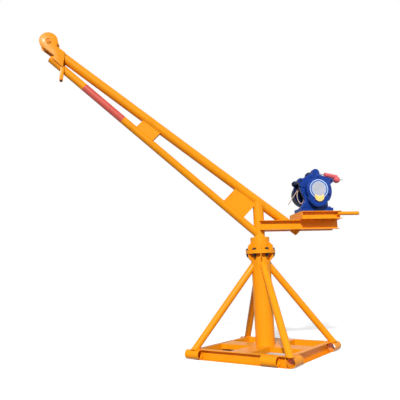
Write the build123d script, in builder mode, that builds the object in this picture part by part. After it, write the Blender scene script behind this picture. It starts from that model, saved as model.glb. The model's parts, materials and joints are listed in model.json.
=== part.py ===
"""Mini hoist crane: a slewing tube jib with an electric winch, on a square channel base."""
import os
from math import cos, pi, radians, sin, tan

from build123d import *

# Base frame: channels with their open side outwards
base_half = 418.0
channel_height = 82.0
channel_depth = 40.0
channel_wall = 5.0

# Cross of wide channels laid flat under the column
cross_width = 170.0
cross_leg = 42.0
cross_wall = 5.0

# Sleeves for the outrigger legs, nested in the side channels
sleeve_wall = 4.0
sleeve_length = 130.0
sleeve_inset = 258.0
sleeve_end_gap = 6.0
sleeve_overhang = 5.0

# Column and its four braces
column_diameter = 159.0
column_wall = 5.0
column_top = 829.0
brace_diameter = 57.0
brace_wall = 3.5
brace_foot = 411.0
brace_meeting_height = 816.0

# Bolted flange pair with gussets
flange_diameter = 246.0
flange_thickness = 15.0
flange_bore = 60.0
bolt_circle = 210.0
bolt_hole = 18.0
bolt_count = 6
gusset_reach = 118.0
gusset_thickness = 8.0
gusset_root = 5.0
gusset_straight = 34.0
gusset_height = 71.0

# Bearing collar that carries the mast
collar_wall = 5.0
collar_height = 107.0
bush_length = 30.0
running_gap = 0.05

# Mast and the two chords of the jib, by their heights on the mast's axis
slew_angle = 46.0
mast_diameter = 90.0
mast_wall = 6.0
upper_diameter = 80.0
upper_wall = 4.0
mast_tongue_drop = 18.0
upper_height = 1275.0
upper_rise = 37.35
upper_tail = 345.0
upper_reach = 1725.0
lower_diameter = 65.0
lower_wall = 4.0
lower_height = 983.0
lower_rise = 41.3
lower_reach = 1728.0

# Flat plates between the chords: reach and height of an edge add up to a fixed sum
plate_thickness = 6.0
plate_side = 18.0
mid_plate_sums = (2691.0, 2944.0)
foot_plate_sums = (1275.0, 1582.0)

# Jib head: runs along a chord and lifts off its axis give the places
pin_run = 2212.0
pin_lift = 26.0
sheave_radius = 66.0
sheave_width = 34.0
sheave_groove = 9.0
sheave_wall = 8.0
sheave_hub_radius = 26.0
sheave_clearance = 8.0
cheek_radius = 76.0
cheek_thickness = 8.0
cheek_low = -37.0
cheek_high = 32.0
cheek_back_run = 2051.0
cheek_step_run = 2105.0
cheek_foot_back = 2187.0
cheek_foot_front = 2276.0
cheek_foot_lift = 8.0
pin_diameter = 24.0
pin_head_diameter = 40.0
pin_head = 6.0

# Rope anchor bar on the lower chord's near side
anchor_width = 28.0
anchor_hole = 14.0
anchor_run = 2172.0
anchor_lean = 10.0
anchor_drop = 150.0

# Tail beams and winch platform
beam_height = 80.0
beam_depth = 40.0
beam_wall = 5.0
beam_bottom = 1023.0
beam_start = -8.0
beam_end = 688.0
packer_tail = 270.0
packer_size = 60.0
rail_height = 66.0
rail_depth = 40.0
rail_wall = 5.0
platform_front = 334.0
platform_back = 690.0
platform_half = 145.0
push_bar_diameter = 32.0
cross_bar_tails = (410.0, 570.0)
push_bar_start = 655.0
push_bar_end = 850.0
push_bar_wall = 3.0

# Winch frame castings: distances behind the mast, above the platform and beside the jib's middle
winch_tail = 505.0
winch_rise = 191.0
foot_height = 38.0
foot_front = 360.0
foot_back = 652.0
foot_near = 70.0
foot_far = -90.0
casting_radius = 148.0
casting_front = 70.0
casting_depth = 40.0
casting_wall = 8.0
bracket_front = -66.0
bracket_depth = 24.0
pedestal_front = 360.0
pedestal_shoulder = 402.0
rear_pedestal_front = 430.0
pedestal_back = 607.0
pedestal_drop = 76.0

# Ears of the castings as angle, distance and radius, and what runs through them
ears = [(86.0, 155.0, 36.0), (147.0, 155.0, 25.0), (30.0, 172.0, 22.0)]
ear_recess = 10.0
spacer_step = 7.0
ear_hole_diameter = 18.0

# Gear cover, with a badge ring over a bearing boss with a cap
cover_radius = 102.0
cover_rise = 52.0
cover_edge = 8.0
boss_drop = 66.0
boss_radius = 89.0
boss_rise = 4.0
cap_recess_radius = 51.0
cap_radius = 42.0
cap_rise = 14.0
badge_ring_radius = 83.0
badge_ring_rise = 12.0
badge_band_outer = 74.0
badge_band_inner = 66.0
badge_radius = 60.0
badge_thickness = 3.0

# Drum on its fixed shaft
barrel_radius = 56.0
drum_flange_radius = 94.0
drum_flange = 6.0
drum_gap = 6.0
shaft_diameter = 34.0
drum_wall = 8.0

# Finned motor behind the rear casting
motor_radius = 95.0
motor_length = 112.0
motor_wall = 7.0
fin_height = 12.0
fin_thickness = 4.0
fin_count = 30
fin_margin = 12.0

# Domed fan cover with slots in its end
fan_cover_wall = 3.0
fan_cover_edge = 16.0
fan_lap = 28.0
fan_space = 40.0
slot_count = 20
slot_width = 8.0
slot_inner = 34.0
slot_outer = 84.0

# Brake lever with a knobbed grip, behind the front casting, by its points from the winch's axis
lever_gap = 22.0
lever_diameter = 9.0
lever_root = (55.0, 134.0)
lever_elbow = (72.0, 162.0)
grip_diameter = 40.0
grip_start = (118.0, 151.0)
grip_end = (232.0, 128.0)
knob_radius = 30.0
knob_spot = (229.0, 106.0)
lever_tip = (286.0, 106.0)

# Two short leads, by points from the winch's axis and by their share of the way between the castings
lead_diameter = 5.0
straight_lead = [
    (-97.0, 47.0, 0.0),
    (-109.0, 33.0, 0.1),
    (-141.0, -7.0, 0.23),
    (-182.0, -58.0, 0.35),
    (-222.0, -109.0, 0.48),
]
loop_lead = [
    (-93.0, 38.0, 0.0),
    (-111.0, 22.0, 0.12),
    (-132.0, -17.0, 0.31),
    (-137.0, -65.0, 0.5),
    (-122.0, -108.0, 0.69),
    (-105.0, -104.0, 0.81),
    (-97.0, -82.0, 0.92),
    (-101.0, -61.0, 1.0),
]

# Sizes that follow from those above
web_face = base_half - channel_depth
sleeve_diameter = channel_height - 2 * channel_wall
sleeve_line = web_face + channel_wall + sleeve_diameter / 2
column_radius = column_diameter / 2
upper_flange_base = column_top + flange_thickness
collar_base = upper_flange_base + flange_thickness
collar_top = collar_base + collar_height
collar_bore = column_diameter - 2 * collar_wall
mast_radius = mast_diameter / 2
upper_radius = upper_diameter / 2
lower_radius = lower_diameter / 2
beam_top = beam_bottom + beam_height
platform_top = beam_top + rail_height
rail_web = platform_half - rail_depth
winch_height = platform_top + winch_rise
casting_back = casting_front - casting_depth
cover_front = casting_front + cover_rise
bracket_back = bracket_front - bracket_depth
motor_back = bracket_back - motor_length
boss_height = winch_height - boss_drop

tail_way = Vector(cos(radians(slew_angle)), sin(radians(slew_angle)), 0)
near_way = Vector(sin(radians(slew_angle)), -cos(radians(slew_angle)), 0)
jib_side = Plane(origin=(0, 0, 0), x_dir=tail_way, z_dir=near_way)

os.makedirs("parts", exist_ok=True)


def save(piece, label):
    """Give a finished piece its name and write it."""
    piece.part.label = label
    export_step(piece.part, f"parts/{label}.step")


def upper_at(reach):
    """Point on the upper chord's axis, as tail and height."""
    return (-reach, upper_height + reach * tan(radians(upper_rise)))


def lower_at(reach):
    """Point on the lower chord's axis, as tail and height."""
    return (-reach, lower_height + reach * tan(radians(lower_rise)))


def by_upper(run, lift):
    """Point beside the upper chord's axis, as tail and height."""
    turn = radians(upper_rise)
    return (lift * sin(turn) - run * cos(turn), upper_height + run * sin(turn) + lift * cos(turn))


def by_lower(run, lift):
    """Point beside the lower chord's axis, as tail and height."""
    turn = radians(lower_rise)
    return (lift * sin(turn) - run * cos(turn), lower_height + run * sin(turn) + lift * cos(turn))


def jib_point(tail, height, side=0.0):
    """Point of the upper works, from its place behind, above and beside the mast."""
    return jib_side.from_local_coords((tail, height, side))


def along(start, end):
    """Plane at start that looks towards end."""
    return Plane(origin=start, z_dir=Vector(*end) - Vector(*start))


def channel_profile(height, depth, wall):
    """Channel section: web on the left at x 0, open to the right."""
    with BuildSketch(Plane.XY, mode=Mode.PRIVATE) as profile:
        with BuildLine():
            Polyline(
                (0, 0),
                (depth, 0),
                (depth, wall),
                (wall, wall),
                (wall, height - wall),
                (depth, height - wall),
                (depth, height),
                (0, height),
                close=True,
            )
        make_face()
    return profile.sketch


def crossing(height_zero, rise, edge_sum):
    """Where a plate's edge meets a chord's axis, as tail and height."""
    reach = (edge_sum - height_zero) / (1 + tan(radians(rise)))
    return (-reach, edge_sum - reach)


def upright(origin, way):
    """Plane at a point, with local x along way and local y upwards."""
    x_way = Vector(way)
    return Plane(origin=origin, x_dir=x_way, z_dir=x_way.cross(Vector(0, 0, 1)))


# Side channels: the right one runs through, front and back butt on it, the left one fits between them
side_runs = {
    "right_channel": (upright((web_face, base_half, 0), (1, 0, 0)), 2 * base_half),
    "front_channel": (upright((web_face, -web_face, 0), (0, -1, 0)), base_half + web_face),
    "back_channel": (upright((-base_half, web_face, 0), (0, 1, 0)), base_half + web_face),
    "left_channel": (upright((-web_face, -web_face, 0), (-1, 0, 0)), 2 * web_face),
}
for label, (end_plane, run) in side_runs.items():
    with BuildPart() as side_channel:
        with BuildSketch(end_plane):
            add(channel_profile(channel_height, channel_depth, channel_wall))
        extrude(amount=run)
    save(side_channel, label)

# Cross channels, laid flat with the web on top: one runs through, two butt on it
half_run = web_face - cross_width / 2
cross_runs = {
    "cross_channel_long": ([(cross_width / 2, -web_face)], (0, 1, 0), 2 * web_face),
    "cross_channels_short": ([(-web_face, -cross_width / 2), (cross_width / 2, -cross_width / 2)], (1, 0, 0), half_run),
}
for label, (starts, way, run) in cross_runs.items():
    with BuildPart() as cross_channels:
        for x, y in starts:
            with BuildSketch(Plane(origin=(x, y, channel_height), x_dir=(0, 0, -1), z_dir=way)):
                add(channel_profile(cross_width, cross_leg, cross_wall))
            extrude(amount=run)
    save(cross_channels, label)

# Leg sleeves: each side has two on one line, as places along that side
corner_place = base_half + sleeve_overhang
flush_place = base_half - sleeve_end_gap - sleeve_length / 2
sleeve_sides = {
    "front_sleeves": ((0, -sleeve_line), (1, 0, 0), (-corner_place, sleeve_inset)),
    "right_sleeves": ((sleeve_line, 0), (0, 1, 0), (-flush_place, corner_place)),
    "back_sleeves": ((0, sleeve_line), (1, 0, 0), (-corner_place, sleeve_inset)),
    "left_sleeves": ((-sleeve_line, 0), (0, 1, 0), (-sleeve_inset, sleeve_inset)),
}
for label, ((x, y), way, places) in sleeve_sides.items():
    line = Plane(origin=(x, y, channel_height / 2), z_dir=way)
    with BuildPart() as sleeves:
        for place in places:
            with BuildSketch(line.offset(place - sleeve_length / 2)):
                Circle(sleeve_diameter / 2)
                Circle(sleeve_diameter / 2 - sleeve_wall, mode=Mode.SUBTRACT)
            extrude(amount=sleeve_length)
    save(sleeves, label)

# Column on the cross
with BuildPart() as column:
    with BuildSketch(Plane.XY.offset(channel_height)):
        Circle(column_radius)
        Circle(column_radius - column_wall, mode=Mode.SUBTRACT)
    extrude(amount=column_top - channel_height)
save(column, "column")

# Braces from the corners to the column, coped at both ends
corners = {
    "brace_front_left": (-1, -1),
    "brace_front_right": (1, -1),
    "brace_back_right": (1, 1),
    "brace_back_left": (-1, 1),
}
for label, (x_side, y_side) in corners.items():
    foot = Vector(x_side * brace_foot, y_side * brace_foot, channel_height)
    top = Vector(0, 0, brace_meeting_height)
    with BuildPart() as brace:
        with BuildSketch(Plane(origin=foot, z_dir=top - foot).offset(-brace_diameter)):
            Circle(brace_diameter / 2)
            Circle(brace_diameter / 2 - brace_wall, mode=Mode.SUBTRACT)
        extrude(amount=(top - foot).length + brace_diameter)
        with BuildSketch(Plane.XY.offset(channel_height)):
            Circle(column_radius)
        extrude(amount=column_top, mode=Mode.SUBTRACT)
        with BuildSketch(Plane.XY.offset(channel_height)):
            Rectangle(4 * base_half, 4 * base_half)
        extrude(amount=-2 * channel_height, mode=Mode.SUBTRACT)
    save(brace, label)

# Flange pair
for label, base in {"lower_flange": column_top, "upper_flange": upper_flange_base}.items():
    with BuildPart() as flange:
        with BuildSketch(Plane.XY.offset(base)):
            Circle(flange_diameter / 2)
            Circle(flange_bore / 2, mode=Mode.SUBTRACT)
            with PolarLocations(bolt_circle / 2, bolt_count, start_angle=-90):
                Circle(bolt_hole / 2, mode=Mode.SUBTRACT)
        extrude(amount=flange_thickness)
    save(flange, label)

# Gussets between the bolts, below and above the flange pair
with BuildPart() as gussets:
    for base, rise in ((column_top, -1), (collar_base, 1)):
        for number in range(bolt_count):
            turn = 2 * pi * (number + 0.5) / bolt_count - pi / 2
            with BuildSketch(upright((0, 0, base), (cos(turn), sin(turn), 0))):
                with BuildLine():
                    Polyline(
                        (column_radius - gusset_root, 0),
                        (gusset_reach, 0),
                        (gusset_reach, rise * gusset_straight),
                        (column_radius, rise * gusset_height),
                        (column_radius - gusset_root, rise * gusset_height),
                        close=True,
                    )
                make_face()
            extrude(amount=gusset_thickness / 2, both=True)
    with BuildSketch(Plane.XY.offset(column_top - gusset_height)):
        Circle(column_radius)
    extrude(amount=collar_base - column_top + 2 * gusset_height, mode=Mode.SUBTRACT)
save(gussets, "flange_gussets")

# Bearing collar and its bushes
with BuildPart() as collar:
    with BuildSketch(Plane.XY.offset(collar_base)):
        Circle(column_radius)
        Circle(collar_bore / 2, mode=Mode.SUBTRACT)
    extrude(amount=collar_height)
save(collar, "bearing_collar")

with BuildPart() as bushes:
    for base in (collar_base, collar_top - bush_length):
        with BuildSketch(Plane.XY.offset(base)):
            Circle(collar_bore / 2)
            Circle(mast_radius + running_gap, mode=Mode.SUBTRACT)
        extrude(amount=bush_length)
save(bushes, "collar_bushes")

# Mast, coped to the underside of the upper chord
with BuildPart() as mast:
    with BuildSketch(Plane.XY.offset(collar_base + running_gap)):
        Circle(mast_radius)
        Circle(mast_radius - mast_wall, mode=Mode.SUBTRACT)
    extrude(amount=upper_height - collar_base)
    with BuildSketch(along(jib_point(*upper_at(-mast_diameter)), jib_point(*upper_at(0)))):
        Circle(upper_radius)
    extrude(amount=3 * mast_diameter, mode=Mode.SUBTRACT)
    tail_low, height_low = upper_at(-mast_diameter)
    tail_high, height_high = upper_at(mast_diameter)
    with BuildSketch(jib_side):
        with BuildLine():
            Polyline(
                (tail_low, height_low - mast_tongue_drop),
                (tail_high, height_high - mast_tongue_drop),
                (tail_high, 2 * upper_height),
                (tail_low, 2 * upper_height),
                close=True,
            )
        make_face()
    extrude(amount=mast_diameter, both=True, mode=Mode.SUBTRACT)
save(mast, "mast")

# Upper chord from its tail under the platform to the slot for the sheave
pin_spot = by_upper(pin_run, pin_lift)
chord_start = jib_point(*upper_at(-upper_tail))
chord_end = jib_point(*upper_at(upper_reach))
with BuildPart() as upper_chord:
    with BuildSketch(along(chord_start, chord_end)):
        Circle(upper_radius)
        Circle(upper_radius - upper_wall, mode=Mode.SUBTRACT)
    extrude(amount=(chord_end - chord_start).length)
    with BuildSketch(jib_side):
        with Locations(pin_spot):
            Circle(sheave_radius + sheave_clearance)
    extrude(amount=sheave_width / 2 + sheave_clearance, both=True, mode=Mode.SUBTRACT)
save(upper_chord, "upper_chord")

# Lower chord, coped to the mast
foot_start = jib_point(*lower_at(lower_reach))
foot_end = jib_point(*lower_at(0))
with BuildPart() as lower_chord:
    with BuildSketch(along(foot_start, foot_end)):
        Circle(lower_radius)
        Circle(lower_radius - lower_wall, mode=Mode.SUBTRACT)
    extrude(amount=(foot_end - foot_start).length)
    with BuildSketch(Plane.XY.offset(collar_base)):
        Circle(mast_radius)
    extrude(amount=upper_height, mode=Mode.SUBTRACT)
save(lower_chord, "lower_chord")

# Flat plates between the chords
plate_edges = {"mid_plates": mid_plate_sums, "foot_plates": foot_plate_sums}
for label, (low_sum, high_sum) in plate_edges.items():
    with BuildPart() as plates:
        for side in (plate_side, -plate_side - plate_thickness):
            with BuildSketch(jib_side.offset(side)):
                with BuildLine():
                    Polyline(
                        crossing(upper_height, upper_rise, low_sum),
                        crossing(upper_height, upper_rise, high_sum),
                        crossing(lower_height, lower_rise, high_sum),
                        crossing(lower_height, lower_rise, low_sum),
                        close=True,
                    )
                make_face()
            extrude(amount=plate_thickness)
        with BuildSketch(along(chord_start, chord_end)):
            Circle(upper_radius)
        extrude(amount=(chord_end - chord_start).length, mode=Mode.SUBTRACT)
        with BuildSketch(along(foot_start, foot_end)):
            Circle(lower_radius)
        extrude(amount=(foot_end - foot_start).length, mode=Mode.SUBTRACT)
        with BuildSketch(Plane.XY.offset(collar_base)):
            Circle(mast_radius)
        extrude(amount=upper_height, mode=Mode.SUBTRACT)
    save(plates, label)

# Head cheeks, the sheave's pin and the sheave
with BuildPart() as cheeks:
    for side in (upper_radius, -upper_radius - cheek_thickness):
        with BuildSketch(jib_side.offset(side)):
            with Locations(pin_spot):
                Circle(cheek_radius)
            with BuildLine():
                Polyline(
                    by_upper(pin_run, cheek_high),
                    by_upper(cheek_back_run, cheek_high),
                    by_lower(cheek_foot_back, cheek_foot_lift),
                    by_lower(cheek_foot_front, cheek_foot_lift),
                    by_upper(cheek_step_run, cheek_low),
                    by_upper(pin_run, cheek_low),
                    close=True,
                )
            make_face()
            with Locations(pin_spot):
                Circle(pin_diameter / 2, mode=Mode.SUBTRACT)
        extrude(amount=cheek_thickness)
save(cheeks, "head_cheeks")

cheek_face = upper_radius + cheek_thickness
with BuildPart() as head_pin:
    with BuildSketch(jib_side.offset(-cheek_face)):
        with Locations(pin_spot):
            Circle(pin_diameter / 2)
    extrude(amount=2 * cheek_face)
    for side in (cheek_face, -cheek_face - pin_head):
        with BuildSketch(jib_side.offset(side)):
            with Locations(pin_spot):
                Circle(pin_head_diameter / 2)
        extrude(amount=pin_head)
save(head_pin, "head_pin")

with BuildPart() as sheave:
    with BuildSketch(Plane(origin=jib_point(*pin_spot), x_dir=tail_way, z_dir=(0, 0, 1))):
        with BuildLine():
            Polyline(
                (pin_diameter / 2 + running_gap, -sheave_width / 2),
                (sheave_hub_radius, -sheave_width / 2),
                (sheave_hub_radius, -sheave_wall),
                (sheave_radius - 2 * sheave_groove, -sheave_wall),
                (sheave_radius, -sheave_width / 2),
                (sheave_radius, -sheave_groove),
                (sheave_radius - 2 * sheave_groove, 0),
                (sheave_radius, sheave_groove),
                (sheave_radius, sheave_width / 2),
                (sheave_radius - 2 * sheave_groove, sheave_wall),
                (sheave_hub_radius, sheave_wall),
                (sheave_hub_radius, sheave_width / 2),
                (pin_diameter / 2 + running_gap, sheave_width / 2),
                close=True,
            )
        make_face()
    revolve(axis=Axis(jib_point(*pin_spot), near_way))
save(sheave, "head_sheave")

# Rope anchor bar, between the lower chord's near side and the cheek
anchor_top = by_lower(anchor_run, 0)
anchor_end = (anchor_top[0] - anchor_lean, anchor_top[1] - anchor_drop)
with BuildPart() as anchor:
    with BuildSketch(jib_side.offset(lower_radius)):
        with Locations(anchor_top, anchor_end):
            Circle(anchor_width / 2)
        make_hull()
        with Locations(anchor_end):
            Circle(anchor_hole / 2, mode=Mode.SUBTRACT)
    extrude(amount=upper_radius - lower_radius)
save(anchor, "anchor_bar")

# Tail beams, webs on the mast's flanks
with BuildPart() as tail_beams:
    with BuildSketch(upright(jib_point(beam_end, beam_bottom, mast_radius), near_way)):
        add(channel_profile(beam_height, beam_depth, beam_wall))
    extrude(amount=beam_end - beam_start)
    with BuildSketch(upright(jib_point(beam_start, beam_bottom, -mast_radius), -near_way)):
        add(channel_profile(beam_height, beam_depth, beam_wall))
    extrude(amount=beam_end - beam_start)
save(tail_beams, "tail_beams")

# Packers between the beams and the upper chord
pack_tail, pack_height = upper_at(-packer_tail)
with BuildPart() as packers:
    for side in (upper_radius, -mast_radius):
        with BuildSketch(jib_side.offset(side)):
            with Locations((pack_tail, pack_height)):
                Rectangle(packer_size, packer_size)
        extrude(amount=mast_radius - upper_radius)
save(packers, "tail_packers")

# Winch platform: two rails with their open side outwards, an end plate and a rear tie
rail_run = platform_back - platform_front - rail_wall
with BuildPart() as rails:
    with BuildSketch(upright(jib_point(platform_back, beam_top, rail_web), near_way)):
        add(channel_profile(rail_height, rail_depth, rail_wall))
    extrude(amount=rail_run)
    with BuildSketch(upright(jib_point(platform_front + rail_wall, beam_top, -rail_web), -near_way)):
        add(channel_profile(rail_height, rail_depth, rail_wall))
    extrude(amount=rail_run)
save(rails, "platform_rails")

with BuildPart() as end_plate:
    with BuildSketch(Plane(origin=jib_point(platform_front, beam_top), x_dir=near_way, z_dir=tail_way)):
        with Locations((0, -rail_height / 2)):
            Rectangle(2 * platform_half, rail_height)
    extrude(amount=rail_wall)
save(end_plate, "platform_end_plate")

with BuildPart() as rear_tie:
    with BuildSketch(upright(jib_point(platform_back - rail_depth, beam_top, -rail_web), tail_way)):
        add(channel_profile(rail_height, rail_depth, rail_wall))
    extrude(amount=2 * rail_web)
save(rear_tie, "platform_rear_tie")

# Cross bars under the winch's foot
with BuildPart() as cross_bars:
    for tail in cross_bar_tails:
        with BuildSketch(upright(jib_point(tail, beam_top, -rail_web), tail_way)):
            add(channel_profile(rail_height, rail_depth, rail_wall))
        extrude(amount=2 * rail_web)
save(cross_bars, "platform_cross_bars")

# Push bar in the near rail's opening
bar_side = rail_web + rail_wall + push_bar_diameter / 2
bar_height = platform_top - rail_wall - push_bar_diameter / 2
with BuildPart() as push_bar:
    with BuildSketch(Plane(origin=jib_point(push_bar_start, bar_height, bar_side), z_dir=tail_way)):
        Circle(push_bar_diameter / 2)
        Circle(push_bar_diameter / 2 - push_bar_wall, mode=Mode.SUBTRACT)
    extrude(amount=push_bar_end - push_bar_start)
save(push_bar, "push_bar")

# Winch foot
with BuildPart() as foot:
    with BuildSketch(jib_side.offset(foot_far)):
        with BuildLine():
            Polyline(
                (foot_front, platform_top),
                (foot_back, platform_top),
                (foot_back, platform_top + foot_height),
                (foot_front, platform_top + foot_height),
                close=True,
            )
        make_face()
    extrude(amount=foot_near - foot_far)
save(foot, "winch_foot")

ear_spots = []
for angle, distance, ear_radius in ears:
    spot = (winch_tail + distance * cos(radians(angle)), winch_height + distance * sin(radians(angle)))
    ear_spots.append((spot, ear_radius))
winch_spot = (winch_tail, winch_height)
boss_spot = (winch_tail, boss_height)


def casting_outline(toe, shoulder):
    """End casting of the winch, seen from the front: a disc with ears over a pedestal."""
    with BuildSketch(Plane.XY, mode=Mode.PRIVATE) as outline:
        with Locations(winch_spot):
            Circle(casting_radius)
        for spot, ear_radius in ear_spots:
            with BuildSketch(mode=Mode.PRIVATE) as ear:
                with Locations(spot):
                    Circle(ear_radius)
                with Locations(winch_spot):
                    Circle(ear_radius)
                make_hull()
            add(ear.sketch)
        with BuildSketch(mode=Mode.PRIVATE) as web:
            with Locations(ear_spots[0][0]):
                Circle(ear_spots[0][1])
            with Locations(ear_spots[2][0]):
                Circle(ear_spots[2][1])
            with Locations(winch_spot):
                Circle(casting_radius / 2)
            make_hull()
        add(web.sketch)
        with BuildLine():
            Polyline(
                (toe, platform_top + foot_height),
                (pedestal_back, platform_top + foot_height),
                (pedestal_back, winch_height - pedestal_drop),
                (shoulder, winch_height - pedestal_drop),
                close=True,
            )
        make_face()
    return outline.sketch


# Front casting holds the gears, so it is hollow
with BuildPart() as front_casting:
    with BuildSketch(jib_side.offset(casting_back)):
        add(casting_outline(pedestal_front, pedestal_shoulder))
    extrude(amount=casting_depth)
    with BuildSketch(jib_side.offset(casting_back + casting_wall)):
        with Locations(winch_spot):
            Circle(casting_radius - 2 * casting_wall)
    extrude(amount=casting_depth - 2 * casting_wall, mode=Mode.SUBTRACT)
    with BuildSketch(jib_side.offset(casting_back)):
        with Locations(winch_spot):
            Circle(shaft_diameter / 2)
    extrude(amount=casting_wall, mode=Mode.SUBTRACT)
    with BuildSketch(jib_side.offset(casting_front)):
        for spot, ear_radius in ear_spots[1:]:
            with Locations(spot):
                Circle(ear_hole_diameter / 2)
    extrude(amount=-ear_recess, mode=Mode.SUBTRACT)
save(front_casting, "winch_gear_case")

with BuildPart() as bracket:
    with BuildSketch(jib_side.offset(bracket_back)):
        add(casting_outline(rear_pedestal_front, rear_pedestal_front))
        with Locations(winch_spot):
            Circle(shaft_diameter / 2, mode=Mode.SUBTRACT)
    extrude(amount=bracket_depth)
save(bracket, "winch_motor_bracket")

# Round spacers between the castings' ears
with BuildPart() as spacers:
    with BuildSketch(jib_side.offset(bracket_front)):
        for spot, ear_radius in ear_spots:
            with Locations(spot):
                Circle(ear_radius - spacer_step)
    extrude(amount=casting_back - bracket_front)
save(spacers, "winch_tie_rods")

# Gear cover: the gears' round housing run together with the bearing's
with BuildPart() as cover:
    with BuildSketch(jib_side.offset(casting_front)):
        with Locations(winch_spot):
            Circle(cover_radius)
        with Locations(boss_spot):
            Circle(boss_radius)
    extrude(amount=cover_rise)
    fillet(cover.faces().sort_by(Axis(jib_point(*winch_spot), near_way))[-1].edges(), radius=cover_edge)
    with BuildSketch(jib_side.offset(casting_front)):
        with Locations(winch_spot):
            Circle(cover_radius - casting_wall)
        with Locations(boss_spot):
            Circle(boss_radius - casting_wall)
    extrude(amount=cover_rise - casting_wall, mode=Mode.SUBTRACT)
save(cover, "winch_gear_cover")

# Bearing boss, cut back where the badge ring stands
with BuildPart() as boss:
    with BuildSketch(jib_side.offset(cover_front)):
        with Locations(boss_spot):
            Circle(boss_radius - cover_edge)
            Circle(cap_recess_radius, mode=Mode.SUBTRACT)
        with Locations(winch_spot):
            Circle(badge_ring_radius, mode=Mode.SUBTRACT)
    extrude(amount=boss_rise)
save(boss, "bearing_boss")


def cap_outline():
    """Bearing cap seen from the front: a disc cut back round the badge."""
    with BuildSketch(Plane.XY, mode=Mode.PRIVATE) as outline:
        with Locations(boss_spot):
            Circle(cap_radius)
        with Locations(winch_spot):
            Circle(badge_radius, mode=Mode.SUBTRACT)
    return outline.sketch


with BuildPart() as cap:
    with BuildSketch(jib_side.offset(cover_front)):
        add(cap_outline())
    extrude(amount=cap_rise)
save(cap, "bearing_cap")

# Badge ring with a groove round it for a band, notched for the cap, and the badge in its middle
ring_face = cover_front + badge_ring_rise
with BuildPart() as badge_ring:
    with BuildSketch(jib_side.offset(cover_front)):
        with Locations(winch_spot):
            Circle(badge_ring_radius)
        add(cap_outline(), mode=Mode.SUBTRACT)
    extrude(amount=badge_ring_rise)
    with BuildSketch(jib_side.offset(ring_face)):
        with Locations(winch_spot):
            Circle(badge_band_outer)
            Circle(badge_band_inner, mode=Mode.SUBTRACT)
            Circle(badge_radius)
    extrude(amount=-badge_thickness, mode=Mode.SUBTRACT)
save(badge_ring, "badge_ring")

with BuildPart() as badge_band:
    with BuildSketch(jib_side.offset(ring_face - badge_thickness)):
        with Locations(winch_spot):
            Circle(badge_band_outer)
            Circle(badge_band_inner, mode=Mode.SUBTRACT)
        add(cap_outline(), mode=Mode.SUBTRACT)
    extrude(amount=badge_thickness / 2)
save(badge_band, "badge_band")

with BuildPart() as badge:
    with BuildSketch(jib_side.offset(ring_face - badge_thickness)):
        with Locations(winch_spot):
            Circle(badge_radius)
    extrude(amount=badge_thickness)
save(badge, "badge")

# Drum shaft from casting to bracket, and the drum that turns on it
with BuildPart() as shaft:
    with BuildSketch(jib_side.offset(bracket_back)):
        with Locations(winch_spot):
            Circle(shaft_diameter / 2)
    extrude(amount=casting_back + casting_wall - bracket_back)
save(shaft, "drum_shaft")

drum_start = bracket_front + drum_gap
drum_end = casting_back - drum_gap
shaft_radius = shaft_diameter / 2
with BuildPart() as drum:
    with BuildSketch(Plane(origin=jib_point(*winch_spot), x_dir=(0, 0, 1), z_dir=tail_way)):
        with BuildLine():
            Polyline(
                (shaft_radius + running_gap, drum_start),
                (drum_flange_radius, drum_start),
                (drum_flange_radius, drum_start + drum_flange),
                (barrel_radius, drum_start + drum_flange),
                (barrel_radius, drum_end - drum_flange),
                (drum_flange_radius, drum_end - drum_flange),
                (drum_flange_radius, drum_end),
                (barrel_radius - drum_wall, drum_end),
                (barrel_radius - drum_wall, drum_start + drum_wall),
                (shaft_radius + drum_wall, drum_start + drum_wall),
                (shaft_radius + drum_wall, drum_end),
                (shaft_radius + running_gap, drum_end),
                close=True,
            )
        make_face()
    revolve(axis=Axis(jib_point(*winch_spot), near_way))
save(drum, "rope_drum")

# Motor: closed case with cooling fins round it
fin_radius = motor_radius + fin_height
with BuildPart() as motor:
    with BuildSketch(jib_side.offset(bracket_back)):
        with Locations(winch_spot):
            Circle(motor_radius)
    extrude(amount=-motor_length)
    with BuildSketch(jib_side.offset(bracket_back - fin_margin)):
        with Locations(winch_spot):
            with PolarLocations(motor_radius, fin_count):
                Rectangle(4 * fin_height, fin_thickness)
            Circle(fin_radius, mode=Mode.INTERSECT)
    extrude(amount=2 * fin_margin - motor_length)
    with BuildSketch(jib_side.offset(bracket_back - motor_wall)):
        with Locations(winch_spot):
            Circle(motor_radius - motor_wall)
    extrude(amount=2 * motor_wall - motor_length, mode=Mode.SUBTRACT)
save(motor, "winch_motor")

# Fan cover: a thin cup over the fins' ends, with slots for the air
winch_axis = Axis(jib_point(*winch_spot), near_way)
with BuildPart() as fan_cover:
    with BuildSketch(jib_side.offset(motor_back + fan_lap)):
        with Locations(winch_spot):
            Circle(fin_radius + fan_cover_wall)
    extrude(amount=-fan_lap - fan_space)
    fillet(fan_cover.faces().sort_by(winch_axis)[0].edges(), radius=fan_cover_edge)
    offset(amount=-fan_cover_wall, openings=fan_cover.faces().sort_by(winch_axis)[-1])
    with BuildSketch(jib_side.offset(motor_back - fan_space)):
        with Locations(winch_spot):
            with PolarLocations((slot_inner + slot_outer) / 2, slot_count):
                SlotOverall(slot_outer - slot_inner, slot_width)
    extrude(amount=fan_cover_wall, mode=Mode.SUBTRACT)
save(fan_cover, "motor_fan_cover")

def lever_point(spot, side):
    """Point of the lever, from its place beside the winch's axis."""
    return jib_point(winch_tail + spot[0], winch_height + spot[1], side)


# Grip of the brake lever, and the bent rod that carries it and ends past the knob
lever_side = casting_back - lever_gap
with BuildPart() as grip:
    with BuildSketch(along(lever_point(grip_start, lever_side), lever_point(grip_end, lever_side))):
        Circle(grip_diameter / 2)
    extrude(amount=(lever_point(grip_end, lever_side) - lever_point(grip_start, lever_side)).length)
    with Locations(lever_point(knob_spot, lever_side)):
        Sphere(knob_radius)
save(grip, "lever_grip")

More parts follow.
